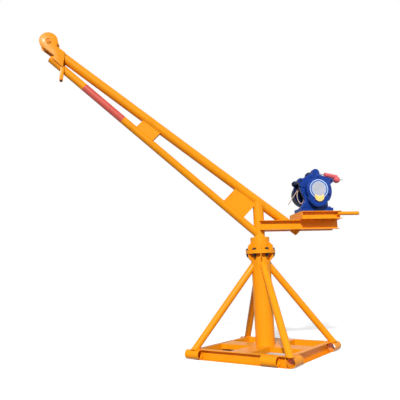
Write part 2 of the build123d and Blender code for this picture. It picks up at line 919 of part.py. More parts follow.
with BuildPart() as lever:
    with BuildLine():
        FilletPolyline(
            lever_point(lever_root, casting_back),
            lever_point(lever_root, lever_side),
            lever_point(lever_elbow, lever_side),
            lever_point(grip_start, lever_side),
            radius=lever_diameter,
        )
    with BuildSketch(Plane(origin=lever_point(lever_root, casting_back), x_dir=tail_way, z_dir=-near_way)):
        Circle(lever_diameter / 2)
    sweep()
    with BuildSketch(along(lever_point(knob_spot, lever_side), lever_point(lever_tip, lever_side))):
        Circle(lever_diameter / 2)
    extrude(amount=(lever_point(lever_tip, lever_side) - lever_point(knob_spot, lever_side)).length)
    add(grip.part, mode=Mode.SUBTRACT)
save(lever, "brake_lever")

# Two short leads: one hangs free, the other loops to the front casting's back
with BuildPart() as leads:
    for spots, is_loop in ((straight_lead, False), (loop_lead, True)):
        points = []
        for tail, height, share in spots:
            side = bracket_front + share * (casting_back - bracket_front)
            points.append(jib_point(winch_tail + tail, winch_height + height, side))
        end_way = near_way if is_loop else points[-1] - points[-2]
        with BuildLine() as lead_line:
            Spline(*points, tangents=(near_way, end_way))
        with BuildSketch(Plane(origin=points[0], z_dir=near_way)):
            Circle(lead_diameter / 2)
        sweep()
save(leads, "motor_leads")
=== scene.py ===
"""Dresses the mini hoist crane: finishes, fasteners, weld beads, winch details and leads."""
import json
from math import acos, asin, atan2, cos, pi, radians, sin, sqrt, tan

import bmesh
import bpy
from mathutils import Matrix, Vector


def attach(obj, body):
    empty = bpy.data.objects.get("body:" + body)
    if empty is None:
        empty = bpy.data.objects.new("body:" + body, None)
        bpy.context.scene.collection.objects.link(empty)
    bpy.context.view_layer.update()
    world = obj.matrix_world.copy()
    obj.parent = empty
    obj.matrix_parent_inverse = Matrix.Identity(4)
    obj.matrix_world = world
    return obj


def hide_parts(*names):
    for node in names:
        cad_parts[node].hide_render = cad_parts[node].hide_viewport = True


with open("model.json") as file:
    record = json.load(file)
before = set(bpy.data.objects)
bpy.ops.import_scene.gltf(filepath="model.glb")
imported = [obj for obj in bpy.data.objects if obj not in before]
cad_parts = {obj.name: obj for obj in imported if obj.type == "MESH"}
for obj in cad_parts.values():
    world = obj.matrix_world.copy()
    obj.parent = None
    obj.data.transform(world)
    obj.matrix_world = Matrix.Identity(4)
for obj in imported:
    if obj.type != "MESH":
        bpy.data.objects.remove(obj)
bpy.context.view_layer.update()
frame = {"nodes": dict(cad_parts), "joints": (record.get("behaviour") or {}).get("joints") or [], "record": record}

bl_info = {
    "name": "Hoist crane dressing",
    "version": (1, 0, 0),
    "blender": (4, 5, 0),
    "location": "3D View > Sidebar > Hoist Crane",
    "description": "Finishes, fasteners, welds and winch details for a mini hoist crane",
    "category": "Object",
}

up_way = Vector((0, 0, 1))
sheave_joint = next(joint for joint in frame["joints"] if joint["name"] == "sheave_spin")
near_way = Vector(sheave_joint["axis"]).normalized()
tail_way = Vector((-near_way.y, near_way.x, 0))

# Sizes of the frame that the dressing sits on, in metres
column_radius = 0.0795
channel_top = 0.082
brace_foot = 0.411
brace_meeting = 0.816
brace_radius = 0.0285
flange_low = 0.829
flange_thickness = 0.015
bolt_circle_radius = 0.105
bolt_count = 6
mast_radius = 0.045
upper_radius = 0.040
upper_height = 1.275
upper_rise = radians(37.35)
lower_radius = 0.0325
lower_height = 0.983
lower_rise = radians(41.3)
plate_face = 0.024
# Slanting ends of the mid and foot plates, each by its reach in front of the mast plus its height
plate_ends = ((2.691, 2.944), (1.275, 1.582))
jib_bead_share = 0.8
label_skin = 0.0004
label_wrap = radians(200)
winch_tail = 0.505
winch_height = 1.360
casting_front = 0.070
casting_back = 0.030
foot_top = 1.207
bracket_front = -0.066
casting_radius = 0.148
cut_start = 166
cut_end = 322
lug_radius = 0.036
left_ear_radius = 0.025
right_ear_radius = 0.022
# Radius of the black screw discs on the ears, which also paint the shade of their sockets
ear_screw_head_and_shade_radius = 0.009
cover_bolt_circle = 0.125
cover_bolt_angles = (15, 75, 105, 165, 195, 345)
# Bolts on the winch's foot, by tail and side
foot_bolts = ((0.630, 0.045), (0.630, -0.065), (0.385, -0.02), (0.575, -0.02))
outline_steps = 180
pin_run = 2.212
pin_lift = 0.026
# Section of the sheave pin's head, by radius and rise over the cheek's face
pin_head = (
    (0.0, 0.007),
    (0.008, 0.007),
    (0.0095, 0.0055),
    (0.0095, 0.0015),
    (0.017, 0.0015),
    (0.018, 0.006),
    (0.0215, 0.006),
    (0.023, 0.0045),
    (0.023, 0.0),
    (0.0125, 0.0),
)
cheek_radius = 0.076
cheek_thickness = 0.008
cheek_high = 0.032
cheek_low = -0.045
cheek_back = 2.046
cheek_step = 2.101
cheek_foot_front = 2.277
cheek_foot_back = 2.163
cheek_foot_lift = 0.0
anchor_run = 2.165
anchor_lift = -0.004
anchor_lean = 0.010
anchor_drop = 0.110
anchor_width = 0.030
anchor_bolt_and_hole_shade = 0.013
lead_radius = 0.004
rim_chamfer = 0.001
white = (1, 1, 1, 1)
# How far out the floor starts to turn plain white, and where it is
shadow_reach = 1.5
plain_from = 3.0

# Motor leads, by points from the winch's axis and by their share of the way between the castings
straight_lead = (
    (-0.097, 0.047, 0.0),
    (-0.109, 0.033, 0.1),
    (-0.141, -0.007, 0.23),
    (-0.182, -0.058, 0.35),
    (-0.222, -0.109, 0.48),
)
loop_lead = (
    (-0.093, 0.038, 0.0),
    (-0.111, 0.022, 0.12),
    (-0.132, -0.017, 0.31),
    (-0.137, -0.065, 0.5),
    (-0.122, -0.108, 0.69),
    (-0.105, -0.104, 0.81),
    (-0.097, -0.082, 0.92),
    (-0.101, -0.061, 1.0),
)


def metres(name, about, default, low, high):
    """A length property in metres."""
    return bpy.props.FloatProperty(
        name=name, description=about, default=default, min=low, max=high, unit="LENGTH"
    )


def colour(name, about, default):
    """A colour property."""
    return bpy.props.FloatVectorProperty(
        name=name, description=about, default=default, size=3, min=0, max=1, subtype="COLOR"
    )


class HoistFinishes(bpy.types.PropertyGroup):
    paint: colour("Frame paint", "Orange paint of the tubes and channels", (0.96, 0.345, 0.004))
    casting: colour("Casting paint", "Blue paint of the winch castings", (0.001, 0.038, 0.28))
    black: colour("Black parts", "Black fasteners, drum and fan cover", (0.008, 0.009, 0.014))
    label: colour("Label", "Bare red film round the lower chord", (0.70, 0.10, 0.07))
    grip: colour("Grip", "Soft red sleeve of the brake lever", (0.80, 0.13, 0.15))


class HoistSizes(bpy.types.PropertyGroup):
    bead: metres("Weld bead", "Radius of the weld beads", 0.0045, 0.001, 0.01)
    flange_bolt: metres("Flange bolt", "Width across the flats of the flange bolts", 0.024, 0.01, 0.04)
    cover_bolt: metres("Cover bolt", "Width across the flats of the winch's small bolts", 0.013, 0.005, 0.03)
    label_start: metres("Label start", "Distance of the label's low end from the mast", 1.135, 0.5, 1.3)
    label_end: metres("Label end", "Distance of the label's high end from the mast", 1.45, 1.3, 1.6)


class HoistStage(bpy.types.PropertyGroup):
    floor: metres("Floor", "Side of the square floor", 200.0, 4.0, 400.0)


def jib_place(tail, height, side=0.0):
    """Point of the upper works, from its place behind, above and beside the mast."""
    return tail_way * tail + up_way * height + near_way * side


def jib_matrix(tail, height):
    """Turns local tail, height and side into the crane's frame at a point of the upper works."""
    turn = Matrix((tail_way, up_way, near_way)).transposed().to_4x4()
    return Matrix.Translation(jib_place(tail, height)) @ turn


def by_chord(run, lift, height_zero, rise):
    """Point beside a chord's axis, as tail and height."""
    return lift * sin(rise) - run * cos(rise), height_zero + run * sin(rise) + lift * cos(rise)


def place_object(name, data):
    """Puts an object with its data in the scene."""
    obj = bpy.data.objects.new(name, data)
    bpy.context.scene.collection.objects.link(obj)
    return obj


def piece(name, mesh, body, material, angle=35.0):
    """Puts a finished mesh in the scene as a piece that rides on a body."""
    obj = place_object(name, mesh)
    mesh.materials.append(material)
    mesh.shade_smooth()
    mesh.set_sharp_from_angle(angle=radians(angle))
    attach(obj, body)
    return obj


def mesh_from(shape, name):
    """Writes a bmesh into a new mesh."""
    mesh = bpy.data.meshes.new(name)
    bmesh.ops.recalc_face_normals(shape, faces=shape.faces)
    shape.to_mesh(mesh)
    shape.free()
    return mesh


def round_edges(shape, edges, offset):
    """Rounds edges in two steps."""
    return bmesh.ops.bevel(
        shape, geom=edges, offset=offset, affect="EDGES", segments=2, profile=0.5, material=-1
    )


def add_prism(shape, matrix, radius, height, sides, chamfer):
    """Adds an upright prism or round with a chamfered upper rim, standing on the matrix's origin."""
    made = bmesh.ops.create_cone(
        shape,
        cap_ends=True,
        segments=sides,
        radius1=radius,
        radius2=radius,
        depth=height,
        matrix=Matrix.Translation((0, 0, height / 2)),
    )
    verts = made["verts"]
    rim = []
    for edge in {edge for vert in verts for edge in vert.link_edges}:
        if min(vert.co.z for vert in edge.verts) > height * 0.99:
            rim.append(edge)
    bevelled = round_edges(shape, rim, chamfer)
    every = set(bevelled["verts"]) | {vert for vert in verts if vert.is_valid}
    bmesh.ops.transform(shape, matrix=matrix, verts=list(every))


def add_hex_bolt(shape, matrix, flats, head):
    """Adds a hexagon head on a washer, standing on the matrix's origin."""
    washer = flats * 0.13
    on_washer = matrix @ Matrix.Translation((0, 0, washer))
    on_head = matrix @ Matrix.Translation((0, 0, washer + head))
    add_prism(shape, matrix, flats * 0.86, washer, 24, flats * 0.03)
    add_prism(shape, on_washer, flats / sqrt(3), head, 6, flats * 0.07)
    add_prism(shape, on_head, flats * 0.36, flats * 0.02, 24, flats * 0.008)


def facing(point, way):
    """Matrix at a point whose local up is the given way."""
    return Matrix.Translation(point) @ Vector(way).to_track_quat("Z", "Y").to_matrix().to_4x4()


def bead_mesh(runs, radius, name):
    """Weld beads along runs of points, each closed or open, with ripples across them."""
    data = bpy.data.curves.new(name, "CURVE")
    data.dimensions = "3D"
    data.bevel_depth = radius
    data.bevel_resolution = 2
    data.use_fill_caps = True
    for points, closed in runs:
        spline = data.splines.new("POLY")
        spline.points.add(len(points) - 1)
        spline.use_cyclic_u = closed
        for number, (target, place) in enumerate(zip(spline.points, points)):
            target.co = (*place, 1)
            target.radius = 1.0 if number % 2 else 0.84
    holder = place_object(name, data)
    bpy.context.view_layer.update()
    mesh = bpy.data.meshes.new_from_object(holder.evaluated_get(bpy.context.evaluated_depsgraph_get()))
    mesh.name = name
    mesh.materials.clear()
    bpy.data.objects.remove(holder)
    bpy.data.curves.remove(data)
    return mesh


def ring_run(centre, radius, step=0.006):
    """Level circle of points, an even number of them."""
    count = 2 * round(pi * radius / step)
    points = []
    for number in range(count):
        turn = 2 * pi * number / count
        points.append(Vector(centre) + Vector((radius * cos(turn), radius * sin(turn), 0)))
    return points, True


def straight_run(start, end, step=0.006):
    """Points along a straight seam."""
    start = Vector(start)
    end = Vector(end)
    count = max(2, round((end - start).length / step))
    return [start.lerp(end, number / count) for number in range(count + 1)], False


def saddle_run(start, way, radius, meets, step=0.006):
    """Closed seam where a tube's wall meets another surface: meets gives the distance along the wall."""
    way = Vector(way).normalized()
    across = way.orthogonal().normalized()
    other = way.cross(across)
    count = 2 * round(pi * radius / step)
    points = []
    for number in range(count):
        turn = 2 * pi * number / count
        wall = Vector(start) + radius * (cos(turn) * across + sin(turn) * other)
        points.append(wall + meets(wall, way) * way)
    return points, True


def meets_upright(radius):
    """Distance along a line to the near wall of an upright round post at the middle."""

    def distance(point, way):
        a = way.x**2 + way.y**2
        b = 2 * (point.x * way.x + point.y * way.y)
        c = point.x**2 + point.y**2 - radius**2
        return (-b - sqrt(b * b - 4 * a * c)) / (2 * a)

    return distance


def meets_level(height):
    """Distance along a line to a level plane."""
    return lambda point, way: (height - point.z) / way.z


# Finishes
def group_tree(name, ins, outs):
    """New shader node group with named sockets, and its input and output nodes."""
    tree = bpy.data.node_groups.new(name, "ShaderNodeTree")
    for label, kind, default in ins:
        socket = tree.interface.new_socket(name=label, in_out="INPUT", socket_type=kind)
        socket.default_value = default
    for label, kind in outs:
        tree.interface.new_socket(name=label, in_out="OUTPUT", socket_type=kind)
    return tree, tree.nodes.new("NodeGroupInput"), tree.nodes.new("NodeGroupOutput")


def add_node(tree, kind, settings=None, **links):
    """Adds a node, sets its properties, and links or fills its sockets by name."""
    node = tree.nodes.new(kind)
    for key, value in (settings or {}).items():
        setattr(node, key, value)
    for key, value in links.items():
        by_number = key[0] == "i" and key[1:].isdigit()
        socket = node.inputs[int(key[1:]) if by_number else key.replace("_", " ")]
        if isinstance(value, bpy.types.NodeSocket):
            tree.links.new(value, socket)
        else:
            socket.default_value = value
    return node


def maths(tree, operation, first, second, clamp=False):
    """Result of a maths node on two values or sockets."""
    settings = {"operation": operation, "use_clamp": clamp}
    return add_node(tree, "ShaderNodeMath", settings, i0=first, i1=second).outputs[0]


def noise(tree, place, scale, detail, roughness=0.5):
    """Noise over a place, as a socket."""
    made = add_node(
        tree, "ShaderNodeTexNoise", Vector=place, Scale=scale, Detail=detail, Roughness=roughness
    )
    return made.outputs["Fac"]


def own_place(tree):
    """Place on the object itself, as a socket."""
    return add_node(tree, "ShaderNodeTexCoord").outputs["Object"]


def stretched(tree, value, low, high):
    """A socket's values between two limits, spread from 0 to 1."""
    return add_node(tree, "ShaderNodeMapRange", Value=value, From_Min=low, From_Max=high).outputs["Result"]


def edge_wear_group():
    """Mask of convex edges, broken up by grain: 1 where a finish is rubbed."""
    tree, start, end = group_tree(
        "edge wear",
        [
            ("Width", "NodeSocketFloat", 0.002),
            ("Breakup", "NodeSocketFloat", 60.0),
            ("Amount", "NodeSocketFloat", 0.5),
        ],
        [("Mask", "NodeSocketFloat")],
    )
    rounded = add_node(tree, "ShaderNodeBevel", {"samples": 4}, Radius=start.outputs["Width"])
    flat = add_node(tree, "ShaderNodeNewGeometry")
    same = add_node(
        tree,
        "ShaderNodeVectorMath",
        {"operation": "DOT_PRODUCT"},
        i0=rounded.outputs[0],
        i1=flat.outputs["Normal"],
    )
    turned = maths(tree, "SUBTRACT", 1.0, same.outputs["Value"])
    grain = noise(tree, own_place(tree), start.outputs["Breakup"], 3.0)
    level = maths(tree, "MULTIPLY", turned, 8.0)
    broken = maths(tree, "MULTIPLY", level, grain)
    held = maths(tree, "MULTIPLY", stretched(tree, broken, 0.18, 0.5), start.outputs["Amount"], clamp=True)
    tree.links.new(held, end.inputs["Mask"])
    return tree


def mottle_group():
    """Slow and quick changes over a surface, from 0 to 1."""
    tree, start, end = group_tree(
        "mottle",
        [("Slow", "NodeSocketFloat", 3.0), ("Quick", "NodeSocketFloat", 40.0)],
        [("Patches", "NodeSocketFloat"), ("Specks", "NodeSocketFloat")],
    )
    place = own_place(tree)
    slow = noise(tree, place, start.outputs["Slow"], 4.0, 0.55)
    quick = noise(tree, place, start.outputs["Quick"], 5.0, 0.65)
    tree.links.new(stretched(tree, slow, 0.3, 0.7), end.inputs["Patches"])
    tree.links.new(stretched(tree, quick, 0.3, 0.7), end.inputs["Specks"])
    return tree


def grain_group():
    """Fine relief for a bump: paint peel and cast or rolled grain."""
    tree, start, end = group_tree(
        "surface grain",
        [
            ("Peel", "NodeSocketFloat", 220.0),
            ("Pits", "NodeSocketFloat", 90.0),
            ("Pit depth", "NodeSocketFloat", 0.3),
        ],
        [("Height", "NodeSocketFloat")],
    )
    place = own_place(tree)
    peel = noise(tree, place, start.outputs["Peel"], 2.0)
    pits = add_node(
        tree, "ShaderNodeTexVoronoi", {"feature": "SMOOTH_F1"}, Vector=place, Scale=start.outputs["Pits"]
    )
    deep = maths(tree, "MULTIPLY", pits.outputs["Distance"], start.outputs["Pit depth"])
    tree.links.new(maths(tree, "ADD", peel, deep), end.inputs["Height"])
    return tree


def grime_group():
    """Grime that runs down upright faces and gathers in patches, from 0 to 1."""
    tree, start, end = group_tree(
        "grime", [("Reach", "NodeSocketFloat", 0.5)], [("Mask", "NodeSocketFloat")]
    )
    place = own_place(tree)
    drawn = add_node(tree, "ShaderNodeMapping", Vector=place, Scale=(26.0, 26.0, 2.2))
    streaks = noise(tree, drawn.outputs[0], 1.0, 4.0, 0.6)
    patches = noise(tree, place, 7.0, 3.0)
    joined = maths(tree, "MULTIPLY", streaks, patches)
    held = maths(tree, "MULTIPLY", stretched(tree, joined, 0.27, 0.45), start.outputs["Reach"], clamp=True)
    tree.links.new(held, end.inputs["Mask"])
    return tree


groups = {}
finishes = {}


def group_node(tree, name, **values):
    """Places a shared group in a material with its own values."""
    node = tree.nodes.new("ShaderNodeGroup")
    node.node_tree = groups[name]
    for key, value in values.items():
        node.inputs[key.replace("_", " ")].default_value = value
    return node


def mix_colour(tree, factor, first, second):
    """Mixes two colours, each a socket or three numbers, by a socket, and returns the socket."""
    node = tree.nodes.new("ShaderNodeMix")
    node.data_type = "RGBA"
    tree.links.new(factor, node.inputs[0])
    for socket, value in ((node.inputs[6], first), (node.inputs[7], second)):
        if isinstance(value, bpy.types.NodeSocket):
            tree.links.new(value, socket)
        else:
            socket.default_value = (*value, 1.0)
    return node.outputs[2]


def scaled(value, amount):
    """A colour made lighter or darker."""
    return tuple(min(1.0, part * amount) for part in value)


def blank_material(name):
    """New material with only a Principled shader and its output."""
    material = bpy.data.materials.new(name)
    material.use_nodes = True
    return material, material.node_tree, material.node_tree.nodes["Principled BSDF"]


def spread_roughness(tree, shader, mask, rough):
    """Roughness between two values after a mask."""
    spread = add_node(tree, "ShaderNodeMapRange", Value=mask, To_Min=rough[0], To_Max=rough[1])
    tree.links.new(spread.outputs["Result"], shader.inputs["Roughness"])


def add_relief(tree, shader, strength, depth, **grain):
    """Bump from the shared grain."""
    relief = group_node(tree, "surface grain", **grain)
    bump = add_node(
        tree, "ShaderNodeBump", Height=relief.outputs["Height"], Strength=strength, Distance=depth
    )
    tree.links.new(bump.outputs["Normal"], shader.inputs["Normal"])


def painted(name, colour_value, shade, worn, rough, coat, relief, wear, grime):
    """Sprayed paint: patches of shade, rubbed edges, grime and a fine peel.

    relief holds the bump's strength and depth, then the grain's peel, pits and pit depth.
    """
    material, tree, shader = blank_material(name)
    mottle = group_node(tree, "mottle", Slow=2.6, Quick=55.0)
    body = mix_colour(tree, mottle.outputs["Patches"], scaled(colour_value, 0.93), colour_value)
    dirt = group_node(tree, "grime", Reach=grime)
    soiled = mix_colour(tree, dirt.outputs["Mask"], body, shade)
    edges = group_node(tree, "edge wear", Width=0.0022, Breakup=70.0, Amount=wear)
    rubbed = mix_colour(tree, edges.outputs["Mask"], soiled, worn)
    tree.links.new(rubbed, shader.inputs["Base Color"])
    spread_roughness(tree, shader, mottle.outputs["Specks"], rough)
    shader.inputs["Specular IOR Level"].default_value = 0.16
    shader.inputs["Coat Weight"].default_value = coat
    shader.inputs["Coat Roughness"].default_value = 0.2
    strength, depth, peel, pits, pit_depth = relief
    add_relief(tree, shader, strength, depth, Peel=peel, Pits=pits, Pit_depth=pit_depth)
    return material


def metal(name, colour_value, dark, rough, relief_scale, wear=0.3):
    """Bare or blackened metal with specks in its gloss."""
    material, tree, shader = blank_material(name)
    mottle = group_node(tree, "mottle", Slow=9.0, Quick=120.0)
    body = mix_colour(tree, mottle.outputs["Patches"], dark, colour_value)
    edges = group_node(tree, "edge wear", Width=0.0012, Breakup=140.0, Amount=wear)
    rubbed = mix_colour(tree, edges.outputs["Mask"], body, scaled(colour_value, 1.5))
    tree.links.new(rubbed, shader.inputs["Base Color"])
    shader.inputs["Metallic"].default_value = 1.0
    spread_roughness(tree, shader, mottle.outputs["Specks"], rough)
    add_relief(tree, shader, 0.12, 0.0004, Peel=relief_scale, Pits=relief_scale / 2, Pit_depth=0.2)
    return material


def soft(name, colour_value, dark, rough, relief_scale, strength=0.25):
    """Rubber, film or insulation: dull, with a fine grain."""
    material, tree, shader = blank_material(name)
    mottle = group_node(tree, "mottle", Slow=22.0, Quick=260.0)
    body = mix_colour(tree, mottle.outputs["Patches"], dark, colour_value)
    tree.links.new(body, shader.inputs["Base Color"])
    spread_roughness(tree, shader, mottle.outputs["Specks"], rough)
    add_relief(tree, shader, strength, 0.0003, Peel=relief_scale, Pits=relief_scale / 3, Pit_depth=0.4)
    return material


def make_finishes():
    """Builds the shared groups and every finish, from the scene's colours."""
    groups["edge wear"] = edge_wear_group()
    groups["mottle"] = mottle_group()
    groups["surface grain"] = grain_group()
    groups["grime"] = grime_group()
    chosen = bpy.context.scene.hoist_finishes
    paint = tuple(chosen.paint)
    casting = tuple(chosen.casting)
    black = tuple(chosen.black)
    cast_relief = (0.3, 0.001, 150.0, 110.0, 0.7)
    finishes["orange_paint"] = painted(
        "orange paint",
        paint,
        shade=scaled(paint, 0.5),
        worn=(0.60, 0.30, 0.10),
        rough=(0.36, 0.52),
        coat=0.08,
        relief=(0.06, 0.0004, 260.0, 60.0, 0.15),
        wear=0.25,
        grime=0.3,
    )
    finishes["weld"] = painted(
        "painted weld",
        scaled(paint, 0.92),
        shade=scaled(paint, 0.4),
        worn=(0.5, 0.22, 0.06),
        rough=(0.36, 0.52),
        coat=0.08,
        relief=(0.4, 0.001, 180.0, 240.0, 0.8),
        wear=0.2,
        grime=0.5,
    )
    finishes["blue_paint"] = painted(
        "blue casting paint",
        casting,
        shade=scaled(casting, 0.25),
        worn=(0.05, 0.14, 0.36),
        rough=(0.3, 0.5),
        coat=0.1,
        relief=cast_relief,
        wear=0.35,
        grime=0.6,
    )
    finishes["navy"] = painted(
        "navy paint",
        scaled(casting, 0.22),
        shade=scaled(casting, 0.08),
        worn=(0.03, 0.06, 0.14),
        rough=(0.4, 0.6),
        coat=0.0,
        relief=cast_relief,
        wear=0.35,
        grime=0.6,
    )
    finishes["dark_steel"] = painted(
        "black paint",
        black,
        shade=scaled(black, 0.5),
        worn=(0.05, 0.05, 0.06),
        rough=(0.45, 0.6),
        coat=0.0,
        relief=(0.15, 0.0006, 240.0, 80.0, 0.3),
        wear=0.4,
        grime=0.3,
    )
    finishes["black_bolt"] = metal(
        "blackened steel", (0.035, 0.03, 0.028), (0.018, 0.015, 0.014), (0.42, 0.6), 500.0, 0.5
    )
    finishes["steel"] = metal("turned steel", (0.52, 0.52, 0.52), (0.36, 0.35, 0.34), (0.24, 0.42), 420.0)
    finishes["silver"] = metal("bright ring", (0.42, 0.54, 0.78), (0.30, 0.42, 0.66), (0.3, 0.45), 380.0)
    finishes["brass"] = metal("brass cap", (0.93, 0.66, 0.24), (0.80, 0.50, 0.15), (0.28, 0.42), 360.0)
    finishes["badge_face"] = soft(
        "pale badge", (0.50, 0.53, 0.60), (0.42, 0.44, 0.52), (0.4, 0.55), 500.0, 0.1
    )
    finishes["grip"] = soft(
        "red rubber", tuple(chosen.grip), scaled(chosen.grip, 0.7), (0.42, 0.6), 520.0, 0.35
    )
    finishes["label"] = soft(
        "red film", tuple(chosen.label), scaled(chosen.label, 0.85), (0.3, 0.42), 300.0, 0.08
    )
    finishes["wire"] = soft(
        "pale insulation", (0.62, 0.47, 0.38), (0.50, 0.36, 0.29), (0.42, 0.55), 600.0, 0.15
    )


# Nodes that look darker than the rest of their slot
node_finishes = {"winch_motor": "navy", "winch_motor_bracket": "navy", "winch_tie_rods": "navy"}


def dress_nodes():
    """Gives every CAD node the finish of its slot in the record."""
    for part in frame["record"]["subparts"]:
        obj = frame["nodes"][part["node"]]
        finish = finishes[node_finishes.get(part["node"], part["material_slot"])]
        if not obj.material_slots:
            raise RuntimeError(f"{obj.name} has no material slot")
        for slot in obj.material_slots:
            slot.material = finish


def build_flange_bolts():
    """Bolt heads over the flange pair, washers and nuts with bolt ends under it."""
    flats = bpy.context.scene.hoist_sizes.flange_bolt
    top = flange_low + 2 * flange_thickness
    shape = bmesh.new()
    for number in range(bolt_count):
        turn = 2 * pi * number / bolt_count - pi / 2
        place = Vector((bolt_circle_radius * cos(turn), bolt_circle_radius * sin(turn), 0))
        add_hex_bolt(shape, facing(place + up_way * top, up_way), flats, flats * 0.6)
        add_hex_bolt(shape, facing(place + up_way * flange_low, -up_way), flats, flats * 0.75)
        end = place + up_way * (flange_low - flats * 0.9)
        add_prism(shape, facing(end, -up_way), flats * 0.33, flats * 0.35, 20, flats * 0.04)
    piece("flange_bolts", mesh_from(shape, "flange_bolts"), "base", finishes["black_bolt"])


def build_base_welds():
    """Beads round the column, its braces and the flange pair."""
    bead = bpy.context.scene.hoist_sizes.bead
    runs = [ring_run((0, 0, channel_top), column_radius)]
    for x_side in (-1, 1):
        for y_side in (-1, 1):
            foot = Vector((x_side * brace_foot, y_side * brace_foot, channel_top))
            way = Vector((0, 0, brace_meeting)) - foot
            runs.append(saddle_run(foot, way, brace_radius, meets_upright(column_radius)))
            runs.append(saddle_run(foot, way, brace_radius, meets_level(channel_top)))
    runs.append(ring_run((0, 0, flange_low), column_radius))
    runs.append(ring_run((0, 0, flange_low + 2 * flange_thickness), column_radius))
    mesh = bead_mesh(runs, bead, "base_welds")
    piece("base_welds", mesh, "base", finishes["weld"], 60.0)


def build_jib_welds():
    """Beads along the plates between the chords, and round the lower chord's foot."""
    bead = bpy.context.scene.hoist_sizes.bead * jib_bead_share
    runs = []
    foot = jib_place(-0.3, lower_height + 0.3 * tan(lower_rise))
    way = jib_place(0, lower_height) - foot
    runs.append(saddle_run(foot, way, lower_radius, meets_upright(mast_radius)))
    for low_sum, high_sum in plate_ends:
        for height_zero, rise, radius, over in (
            (upper_height, upper_rise, upper_radius, -1),
            (lower_height, lower_rise, lower_radius, 1),
        ):
            lift = over * sqrt(radius**2 - plate_face**2)
            ends = []
            for edge_sum in (low_sum, high_sum):
                run = (edge_sum - height_zero - lift * (cos(rise) - sin(rise))) / (cos(rise) + sin(rise))
                ends.append(by_chord(run, lift, height_zero, rise))
            for side in (plate_face, -plate_face):
                runs.append(straight_run(jib_place(*ends[0], side), jib_place(*ends[1], side)))
    mesh = bead_mesh(runs, bead, "jib_welds")
    piece("jib_welds", mesh, "slewing_jib", finishes["weld"], 60.0)


def build_label():
    """Bare red film round the near side of the lower chord."""
    sizes = bpy.context.scene.hoist_sizes
    run_start = sizes.label_start / cos(lower_rise)
    run_end = sizes.label_end / cos(lower_rise)
    middle = jib_place(*by_chord(run_start, 0, lower_height, lower_rise))
    along = (jib_place(*by_chord(run_end, 0, lower_height, lower_rise)) - middle).normalized()
    first = near_way.copy()
    first.rotate(Matrix.Rotation(-label_wrap / 2, 3, along))
    shape = bmesh.new()
    start = shape.verts.new(middle + first * (lower_radius + label_skin))
    bmesh.ops.spin(shape, geom=[start], cent=middle, axis=along, angle=label_wrap, steps=40)
    arc = list(shape.edges)
    drawn = bmesh.ops.extrude_edge_only(shape, edges=arc)
    moved = [part for part in drawn["geom"] if isinstance(part, bmesh.types.BMVert)]
    bmesh.ops.translate(shape, vec=along * (run_end - run_start), verts=moved)
    bmesh.ops.recalc_face_normals(shape, faces=shape.faces)
    bmesh.ops.solidify(shape, geom=list(shape.faces), thickness=label_skin)
    piece("label_film", mesh_from(shape, "label_film"), "slewing_jib", finishes["label"])


def build_winch_bolts():
    """Small bolts round the gear cover and on the winch's foot."""
    flats = bpy.context.scene.hoist_sizes.cover_bolt
    shape = bmesh.new()
    for angle in cover_bolt_angles:
        tail = winch_tail + cover_bolt_circle * cos(radians(angle))
        height = winch_height + cover_bolt_circle * sin(radians(angle))
        add_hex_bolt(shape, facing(jib_place(tail, height, casting_front), near_way), flats, flats * 0.6)
    for tail, side in foot_bolts:
        add_hex_bolt(shape, facing(jib_place(tail, foot_top, side), up_way), flats * 1.4, flats * 0.9)
    mesh = mesh_from(shape, "winch_bolts")
    piece("winch_bolts", mesh, "slewing_jib", finishes["blue_paint"])


def chord_spot(run, lift, lower=False):
    """Point beside the upper or lower chord, as tail and height."""
    if lower:
        return by_chord(run, lift, lower_height, lower_rise)
    return by_chord(run, lift, upper_height, upper_rise)


def add_plate(shape, outline, side, thickness, chamfer):
    """Adds a flat plate with rounded rims, from its outline as tail and height and its inner side."""
    verts = [shape.verts.new((tail, height, side)) for tail, height in outline]
    face = shape.faces.new(verts)
    drawn = bmesh.ops.extrude_face_region(shape, geom=[face], use_keep_orig=True)
    moved = {part for part in drawn["geom"] if isinstance(part, bmesh.types.BMVert)}
    bmesh.ops.translate(shape, vec=(0, 0, thickness), verts=list(moved))
    rims = set(face.edges)
    for vert in moved:
        rims |= {edge for edge in vert.link_edges if edge.verts[0] in moved and edge.verts[1] in moved}
    round_edges(shape, list(rims), chamfer)


def arc_spots(centre, radius, start, end, count):
    """Points on an arc, as tail and height, from one angle to another."""
    spots = []
    for number in range(count + 1):
        turn = start + (end - start) * number / count
        spots.append((centre[0] + radius * cos(turn), centre[1] + radius * sin(turn)))
    return spots


def build_cheeks():
    """Cheek plates of the head, round over the sheave and stepped back to the lower chord."""
    pin = chord_spot(pin_run, pin_lift)
    low_lift = pin_lift - cheek_low
    over_lift = cheek_high - pin_lift
    low_turn = -pi / 2 + acos(low_lift / cheek_radius)
    high_turn = pi - asin(over_lift / cheek_radius)
    along = pi - upper_rise
    # Turns are measured from the chord's outward run, with lift to the left of it
    arc = arc_spots(pin, cheek_radius, along - low_turn, along - high_turn, 40)
    outline = arc + [
        chord_spot(cheek_back, cheek_high),
        chord_spot(cheek_foot_back, cheek_foot_lift, True),
        chord_spot(cheek_foot_front, cheek_foot_lift, True),
        chord_spot(cheek_step, cheek_low),
    ]
    shape = bmesh.new()
    add_plate(shape, outline, upper_radius, cheek_thickness, rim_chamfer)
    add_plate(shape, outline, -upper_radius - cheek_thickness, cheek_thickness, rim_chamfer)
    bmesh.ops.transform(shape, matrix=jib_matrix(0, 0), verts=list(shape.verts))
    mesh = mesh_from(shape, "head_cheek_plates")
    obj = piece("head_cheek_plates", mesh, "slewing_jib", finishes["orange_paint"])
    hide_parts("head_cheeks")


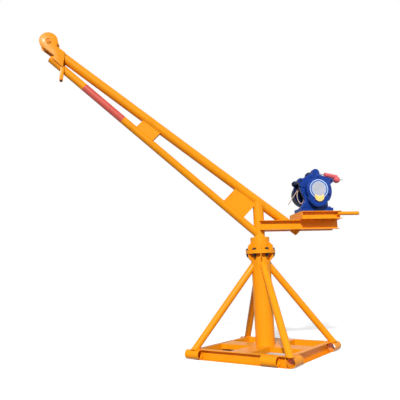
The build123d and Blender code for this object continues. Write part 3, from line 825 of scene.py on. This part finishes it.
def build_pin():
    """Sheave pin with a turned recess round its tip in each head."""
    face = upper_radius + cheek_thickness
    tail, height = chord_spot(pin_run, pin_lift)
    shape = bmesh.new()
    profile = [(radius, face + rise) for radius, rise in pin_head]
    profile += [(radius, -face - rise) for radius, rise in reversed(pin_head)]
    verts = [shape.verts.new((radius, 0, along)) for radius, along in profile]
    edges = [shape.edges.new(pair) for pair in zip(verts, verts[1:])]
    bmesh.ops.spin(
        shape, geom=verts + edges, cent=(0, 0, 0), axis=(0, 0, 1), angle=2 * pi, steps=48, use_merge=True
    )
    bmesh.ops.remove_doubles(shape, verts=list(shape.verts), dist=0.00001)
    bmesh.ops.transform(shape, matrix=jib_matrix(tail, height), verts=list(shape.verts))
    mesh = mesh_from(shape, "sheave_pin")
    obj = piece("sheave_pin", mesh, "slewing_jib", finishes["orange_paint"])
    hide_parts("head_pin")


def build_anchor():
    """Rope anchor bar with a blackened bolt through its end, whose black also paints the shade of the hole there.
    """
    half_width = anchor_width / 2
    top = chord_spot(anchor_run, anchor_lift, True)
    end = (top[0] - anchor_lean, top[1] - anchor_drop)
    way = atan2(end[1] - top[1], end[0] - top[0])
    outline = arc_spots(end, half_width, way - pi / 2, way + pi / 2, 16)
    outline += arc_spots(top, half_width, way + pi / 2, way + 3 * pi / 2, 16)
    shape = bmesh.new()
    add_plate(shape, outline, lower_radius, upper_radius - lower_radius, rim_chamfer)
    bmesh.ops.transform(shape, matrix=jib_matrix(0, 0), verts=list(shape.verts))
    mesh = mesh_from(shape, "rope_anchor")
    obj = piece("rope_anchor", mesh, "slewing_jib", finishes["orange_paint"])
    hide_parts("anchor_bar")
    # The blackened bolt at the end is a real fastener, and its black also paints the shade of the anchor's hole
    bolt = bmesh.new()
    spot = jib_place(end[0], end[1] - half_width * 0.3, upper_radius)
    add_hex_bolt(bolt, facing(spot, near_way), anchor_bolt_and_hole_shade, anchor_bolt_and_hole_shade * 0.5)
    piece("anchor_bolt_and_hole_shade", mesh_from(bolt, "anchor_bolt_and_hole_shade"), "slewing_jib", finishes["black_bolt"])


def lead_points(spots):
    """Points of a lead in the crane's frame, from its spots beside the winch's axis."""
    points = []
    for tail, height, share in spots:
        side = bracket_front + share * (casting_back - bracket_front)
        points.append(jib_place(winch_tail + tail, winch_height + height, side))
    return points


def build_lead(name, spots):
    """One motor lead as a smooth curve that starts at the rear bracket."""
    points = lead_points(spots)
    data = bpy.data.curves.new(name, "CURVE")
    data.dimensions = "3D"
    data.bevel_depth = lead_radius
    data.bevel_resolution = 4
    data.resolution_u = 8
    data.use_fill_caps = True
    spline = data.splines.new("NURBS")
    spline.points.add(len(points) - 1)
    for target, place in zip(spline.points, points):
        target.co = (*place, 1)
    spline.order_u = 3
    spline.use_endpoint_u = True
    data.materials.append(finishes["wire"])
    obj = place_object(name, data)
    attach(obj, "slewing_jib")
    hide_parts("motor_leads")


def build_leads():
    """Two short motor leads: one hangs free, the other loops to the front casting's back."""
    build_lead("lead_straight", straight_lead)
    build_lead("lead_loop", loop_lead)


def capsule_reach(way, end, radius):
    """How far a ray from the winch's axis stays inside a capsule from that axis to a point."""
    along = end.normalized()
    forward = way.dot(along)
    off = abs(way.cross(along).z)
    nose = way.dot(end)
    miss = end.length_squared - nose * nose
    if miss < radius * radius:
        return nose + sqrt(radius * radius - miss)
    return radius / off if forward > 0 else radius


def disc_reach(way, centre, radius):
    """How far a ray from the winch's axis goes before it leaves a disc, or 0 where it misses."""
    nose = way.dot(centre)
    miss = centre.length_squared - nose * nose
    if nose < 0 or miss > radius * radius:
        return 0.0
    return nose + sqrt(radius * radius - miss)


def side_reach(way, start, end):
    """How far a ray from the winch's axis goes before it meets a straight side, or 0 where it misses."""
    run = end - start
    turn = way.cross(run).z
    if abs(turn) < 1e-9:
        return 0.0
    reach = start.cross(run).z / turn
    share = start.cross(way).z / turn
    return reach if reach > 0 and 0 <= share <= 1 else 0.0


def flat_spot(angle, distance):
    """Point by its angle and distance from the winch's axis."""
    return Vector((distance * cos(angle), distance * sin(angle), 0))


def build_front_casting():
    """Front casting of the winch: a disc with ears, cut back beside its pedestal."""
    lug = flat_spot(radians(86), 0.155)
    left_ear = flat_spot(radians(147), 0.155)
    right_ear = flat_spot(radians(30), 0.172)
    low = foot_top - winch_height
    # Pedestal from its toe round to its back
    corners = [
        flat_spot(radians(cut_start), casting_radius),
        Vector((-0.129, -0.010, 0)),
        Vector((-0.106, -0.066, 0)),
        Vector((-0.103, -0.090, 0)),
        Vector((-0.145, low, 0)),
        Vector((0.102, low, 0)),
        Vector((0.102, -0.090, 0)),
        flat_spot(radians(cut_end - 360), casting_radius),
    ]
    web = (Vector((0.050, 0.132, 0)), right_ear + flat_spot(radians(72), right_ear_radius))
    outline = []
    for number in range(outline_steps):
        turn = 2 * pi * number / outline_steps
        way = flat_spot(turn, 1.0)
        degrees_round = number * 360 / outline_steps
        if degrees_round < cut_start or degrees_round > cut_end:
            reach = casting_radius
        else:
            reach = max(side_reach(way, *side) for side in zip(corners, corners[1:]))
        reach = max(reach, disc_reach(way, lug, lug_radius), side_reach(way, *web))
        reach = max(reach, capsule_reach(way, left_ear, left_ear_radius))
        reach = max(reach, capsule_reach(way, right_ear, right_ear_radius))
        outline.append((way.x * reach, way.y * reach))
    shape = bmesh.new()
    add_plate(shape, outline, casting_back, casting_front - casting_back, 0.003)
    bmesh.ops.transform(shape, matrix=jib_matrix(winch_tail, winch_height), verts=list(shape.verts))
    mesh = mesh_from(shape, "winch_front_casting")
    obj = piece("winch_front_casting", mesh, "slewing_jib", finishes["blue_paint"], 50.0)
    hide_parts("winch_gear_case")
    # Flat black discs on the ears: screw heads, whose black also paints the shade of their recessed sockets
    screw_heads_and_shade = bmesh.new()
    for ear in (left_ear, right_ear):
        spot = jib_place(winch_tail + ear.x, winch_height + ear.y, casting_front)
        add_prism(screw_heads_and_shade, facing(spot, near_way), ear_screw_head_and_shade_radius, 0.001, 24, 0.0003)
    piece("ear_screw_heads_and_socket_shade", mesh_from(screw_heads_and_shade, "ear_screw_heads_and_socket_shade"), "slewing_jib", finishes["black_bolt"])


class DressNodes(bpy.types.Operator):
    """Build the finishes and give them to the frame"""

    bl_idname = "hoist.dress_nodes"
    bl_label = "Finishes"

    def execute(self, context):
        make_finishes()
        dress_nodes()
        return {"FINISHED"}


class FlangeBolts(bpy.types.Operator):
    """Add the bolts of the flange pair"""

    bl_idname = "hoist.flange_bolts"
    bl_label = "Flange bolts"

    def execute(self, context):
        build_flange_bolts()
        return {"FINISHED"}


class WeldBeads(bpy.types.Operator):
    """Add the weld beads of base and jib"""

    bl_idname = "hoist.weld_beads"
    bl_label = "Weld beads"

    def execute(self, context):
        build_base_welds()
        build_jib_welds()
        return {"FINISHED"}


class LabelFilm(bpy.types.Operator):
    """Add the bare red film on the lower chord"""

    bl_idname = "hoist.label_film"
    bl_label = "Label film"

    def execute(self, context):
        build_label()
        return {"FINISHED"}


class WinchBolts(bpy.types.Operator):
    """Add the winch's small bolts"""

    bl_idname = "hoist.winch_bolts"
    bl_label = "Winch bolts"

    def execute(self, context):
        build_winch_bolts()
        return {"FINISHED"}


class Head(bpy.types.Operator):
    """Add the cheek plates, sheave pin and rope anchor of the head"""

    bl_idname = "hoist.head"
    bl_label = "Head"

    def execute(self, context):
        build_cheeks()
        build_pin()
        build_anchor()
        return {"FINISHED"}


class FrontCasting(bpy.types.Operator):
    """Add the front casting of the winch"""

    bl_idname = "hoist.front_casting"
    bl_label = "Front casting"

    def execute(self, context):
        build_front_casting()
        return {"FINISHED"}


class MotorLeads(bpy.types.Operator):
    """Add the two motor leads"""

    bl_idname = "hoist.motor_leads"
    bl_label = "Motor leads"

    def execute(self, context):
        build_leads()
        return {"FINISHED"}


def background_rays(tree):
    """1 for the rays that show the background: camera, glossy and transmission rays."""
    rays = add_node(tree, "ShaderNodeLightPath")
    seen = maths(tree, "MAXIMUM", rays.outputs["Is Camera Ray"], rays.outputs["Is Glossy Ray"])
    return maths(tree, "MAXIMUM", seen, rays.outputs["Is Transmission Ray"])


def mix_shaders(tree, factor, first, second):
    """Mixes two shaders by a factor, all of them sockets, and returns the socket."""
    return add_node(tree, "ShaderNodeMixShader", i0=factor, i1=first, i2=second).outputs[0]


def build_floor():
    """Pale floor that keeps the crane's shadow and runs into the background."""
    side = bpy.context.scene.hoist_stage.floor
    shape = bmesh.new()
    bmesh.ops.create_grid(shape, x_segments=1, y_segments=1, size=side / 2)
    mesh = bpy.data.meshes.new("floor")
    shape.to_mesh(mesh)
    shape.free()
    obj = place_object("floor", mesh)
    material, tree, shader = blank_material("pale floor")
    shader.inputs["Base Color"].default_value = (0.82, 0.82, 0.82, 1)
    shader.inputs["Roughness"].default_value = 0.9
    shader.inputs["Specular IOR Level"].default_value = 0.1
    # Near the crane the floor takes its shadow, and further out it is plain white
    glow = add_node(tree, "ShaderNodeEmission", Color=white, Strength=0.5)
    near = add_node(tree, "ShaderNodeAddShader", i0=shader.outputs[0], i1=glow.outputs[0])
    plain = add_node(tree, "ShaderNodeEmission", Color=white, Strength=1.0)
    coords = add_node(tree, "ShaderNodeTexCoord")
    away = add_node(tree, "ShaderNodeVectorMath", {"operation": "LENGTH"}, i0=coords.outputs["Object"])
    fade = stretched(tree, away.outputs["Value"], shadow_reach, plain_from)
    both = mix_shaders(tree, fade, near.outputs[0], plain.outputs[0])
    # Light that bounces off the floor onto the crane is dull and warm
    dull = add_node(tree, "ShaderNodeBsdfDiffuse", Color=(0.3, 0.24, 0.2, 1))
    shown = mix_shaders(tree, background_rays(tree), dull.outputs[0], both)
    tree.links.new(shown, tree.nodes["Material Output"].inputs["Surface"])
    mesh.materials.append(material)


def build_world():
    """White surround for the camera, which gives the crane a weaker light."""
    world = bpy.data.worlds.new("studio")
    world.use_nodes = True
    tree = world.node_tree
    tree.nodes.clear()
    light = add_node(tree, "ShaderNodeBackground", Color=white, Strength=0.26)
    shown = add_node(tree, "ShaderNodeBackground", Color=white, Strength=1.0)
    mixed = mix_shaders(tree, background_rays(tree), light.outputs[0], shown.outputs[0])
    out = tree.nodes.new("ShaderNodeOutputWorld")
    tree.links.new(mixed, out.inputs["Surface"])
    bpy.context.scene.world = world


def add_lamp(name, place, target, size, power):
    """Square soft lamp that looks at a point."""
    data = bpy.data.lights.new(name, "AREA")
    data.shape = "SQUARE"
    data.size = size
    data.energy = power
    obj = place_object(name, data)
    obj.matrix_world = facing(Vector(place), Vector(place) - Vector(target))


def add_key(way, strength, spread):
    """Key light from far away, so that the head and the base are lit alike."""
    data = bpy.data.lights.new("key light", "SUN")
    data.energy = strength
    data.angle = spread
    obj = place_object("key light", data)
    obj.matrix_world = facing(way * 6, way)


def build_camera():
    """Camera at the photograph's angle."""
    # Worked out from the straight edges of the photograph, in pixels of its square frame
    frame_side = 400
    focus = 453.54
    shift_right = 4.188
    shift_up = 10.0
    sensor = 36
    # Place and direction, with the heading as the swing and what is added to it
    swing_degrees = 28.789
    swing = radians(swing_degrees)
    away = 3.88548
    height = 0.65033
    heading = radians(swing_degrees + 7.904)
    tilt = radians(8.435)
    roll = radians(-1.955)
    ahead = Vector((-sin(heading) * cos(tilt), cos(heading) * cos(tilt), sin(tilt)))
    level = Vector((cos(heading), sin(heading), 0))
    rise = level.cross(ahead)
    right = cos(roll) * level + sin(roll) * rise
    above = -sin(roll) * level + cos(roll) * rise
    data = bpy.data.cameras.new("camera")
    data.sensor_width = sensor
    data.sensor_height = sensor
    data.lens = sensor * focus / frame_side
    data.shift_x = shift_right / frame_side
    data.shift_y = shift_up / frame_side
    data.clip_end = 200
    obj = place_object("camera", data)
    turn = Matrix((right, above, -ahead)).transposed().to_4x4()
    obj.matrix_world = Matrix.Translation((away * sin(swing), -away * cos(swing), height)) @ turn
    bpy.context.scene.camera = obj


class Stage(bpy.types.Operator):
    """Set up the floor, the surround, the lamps and the camera"""

    bl_idname = "hoist.stage"
    bl_label = "Stage"

    def execute(self, context):
        build_floor()
        build_world()
        key_way = -tail_way * 0.42 + up_way * 0.68 + near_way
        add_key(way=key_way, strength=3.3, spread=radians(4))
        add_lamp("side lamp", place=(5.5, 0.5, 3.0), target=(0.0, 0.0, 1.3), size=2.4, power=45)
        build_camera()
        context.scene.view_settings.view_transform = "Standard"
        return {"FINISHED"}


steps = [
    ("stage", Stage),
    ("dress_nodes", DressNodes),
    ("flange_bolts", FlangeBolts),
    ("weld_beads", WeldBeads),
    ("label_film", LabelFilm),
    ("winch_bolts", WinchBolts),
    ("head", Head),
    ("motor_leads", MotorLeads),
    ("front_casting", FrontCasting),
]


class HoistPanel(bpy.types.Panel):
    """Lists what the dressing is made of"""

    bl_idname = "HOIST_PT_dressing"
    bl_label = "Hoist crane"
    bl_space_type = "VIEW_3D"
    bl_region_type = "UI"
    bl_category = "Hoist Crane"

    def draw(self, context):
        layout = self.layout
        for owner in (context.scene.hoist_finishes, context.scene.hoist_sizes, context.scene.hoist_stage):
            for key in owner.__annotations__:
                layout.prop(owner, key)
        for _, kind in steps:
            layout.operator(kind.bl_idname)


property_groups = {"hoist_finishes": HoistFinishes, "hoist_sizes": HoistSizes, "hoist_stage": HoistStage}


def register():
    """Registers the property groups, operators and panel."""
    for key, kind in property_groups.items():
        bpy.utils.register_class(kind)
        setattr(bpy.types.Scene, key, bpy.props.PointerProperty(type=kind))
    for _, kind in steps:
        bpy.utils.register_class(kind)
    bpy.utils.register_class(HoistPanel)


def unregister():
    """Takes them out again."""
    bpy.utils.unregister_class(HoistPanel)
    for _, kind in reversed(steps):
        bpy.utils.unregister_class(kind)
    for key, kind in property_groups.items():
        delattr(bpy.types.Scene, key)
        bpy.utils.unregister_class(kind)


def main():
    """Builds the whole dressing."""
    register()
    for name, kind in steps:
        getattr(bpy.ops.hoist, name)()


if __name__ == "__main__":
    main()
